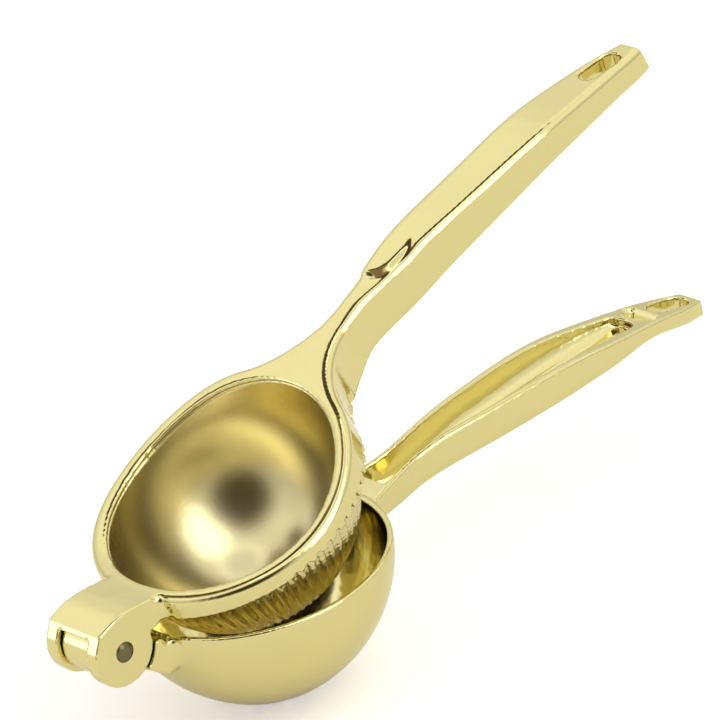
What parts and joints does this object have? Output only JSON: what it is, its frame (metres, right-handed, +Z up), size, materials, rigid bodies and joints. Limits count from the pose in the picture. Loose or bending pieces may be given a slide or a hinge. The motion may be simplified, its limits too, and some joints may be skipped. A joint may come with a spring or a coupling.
{
  "type": "hinged lemon squeezer",
  "caption": "Lever squeezer: a round bowl arm and a press arm with a fluted cup turn on a hinge pin to press half a lemon.",
  "frame": {"origin": "middle of the small flat under the bowl, on the surface it stands on", "axes": "+X from the hinge towards the ends of the handles, +Y across the arms along the hinge pin, +Z up; the rim of the bowl lies flat"},
  "size_m": [0.2262, 0.0758, 0.1093],
  "materials": {
    "polished_casting": "polished pale gold plating",
    "satin_casting": "satin brushed pale gold",
    "pin_metal": "satin",
    "washer_metal": "dark satin"
  },
  "bodies": {
    "bowl_arm": {"bowl_arm": "polished_casting"},
    "press_arm": {"press_arm": "polished_casting", "press_cup": "satin_casting", "hinge_pin": "pin_metal", "washer_near": "washer_metal", "washer_far": "washer_metal"}
  },
  "joints": [
    {"name": "hinge", "type": "hinge", "parent": "bowl_arm", "child": "press_arm", "pos_m": [-0.0514, 0, 0.04184], "axis": [0, -1, 0], "range_deg": [-17.7, 68]}
  ]
}
